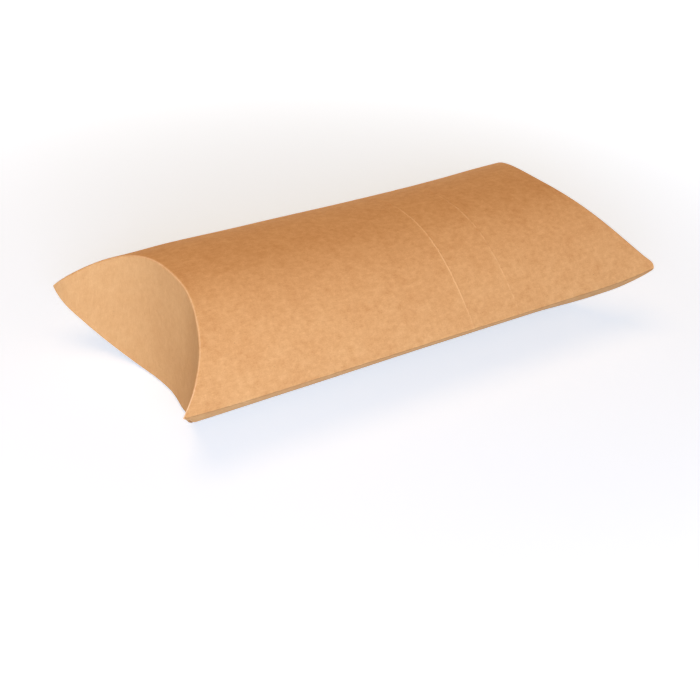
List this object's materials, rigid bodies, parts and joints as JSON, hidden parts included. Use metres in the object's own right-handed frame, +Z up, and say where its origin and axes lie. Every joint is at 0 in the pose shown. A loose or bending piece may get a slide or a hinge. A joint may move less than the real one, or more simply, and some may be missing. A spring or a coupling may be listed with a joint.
{
  "type": "taco box",
  "caption": "Kraft paperboard pillow box for a folded taco, with bowed end flaps and a perforated tear strip that frees an end cap.",
  "frame": {"origin": "on the surface that the box stands on, under the middle of its outline", "axes": "+X along the box towards the tear-off cap, +Z up, +Y towards the glued side crease"},
  "size_m": [0.1838, 0.0878, 0.0415],
  "materials": {
    "kraft": "matte",
    "kraft_inside": "matte",
    "adhesive": "satin"
  },
  "bodies": {
    "sleeve": {"sleeve_top_panel": "kraft", "sleeve_bottom_panel": "kraft", "sleeve_glue_tab": "kraft_inside", "sleeve_glue_line": "adhesive"},
    "tear_strip": {"tear_strip_top_panel": "kraft", "tear_strip_bottom_panel": "kraft", "tear_strip_glue_tab": "kraft_inside", "tear_strip_glue_line": "adhesive"},
    "cap": {"cap_top_panel": "kraft", "cap_bottom_panel": "kraft", "cap_glue_tab": "kraft_inside", "cap_glue_line": "adhesive"},
    "left_outer_flap": {"left_outer_flap": "kraft"},
    "left_inner_flap": {"left_inner_flap": "kraft_inside"},
    "right_outer_flap": {"right_outer_flap": "kraft"},
    "right_inner_flap": {"right_inner_flap": "kraft_inside"}
  },
  "joints": [
    {"name": "strip_tear", "type": "slide", "parent": "sleeve", "child": "tear_strip", "axis": [1, 0, 0], "range_m": [0, 0.03]},
    {"name": "cap_pull", "type": "slide", "parent": "tear_strip", "child": "cap", "axis": [1, 0, 0], "range_m": [0, 0.06]},
    {"name": "left_outer_flap_fold", "type": "hinge", "parent": "sleeve", "child": "left_outer_flap", "pos_m": [-0.07335, 0, 0.0415], "axis": [0, 1, 0], "range_deg": [0, 80]},
    {"name": "left_inner_flap_fold", "type": "hinge", "parent": "sleeve", "child": "left_inner_flap", "pos_m": [-0.07255, 0, 0], "axis": [0, -1, 0], "range_deg": [0, 36]},
    {"name": "right_outer_flap_fold", "type": "hinge", "parent": "cap", "child": "right_outer_flap", "pos_m": [0.07335, 0, 0.0415], "axis": [0, -1, 0], "range_deg": [0, 80]},
    {"name": "right_inner_flap_fold", "type": "hinge", "parent": "cap", "child": "right_inner_flap", "pos_m": [0.07255, 0, 0], "axis": [0, 1, 0], "range_deg": [0, 36]}
  ],
  "couplings": [
    {"joint": "left_inner_flap_fold", "follows": "left_outer_flap_fold", "ratio": 0.45},
    {"joint": "right_inner_flap_fold", "follows": "right_outer_flap_fold", "ratio": 0.45}
  ]
}
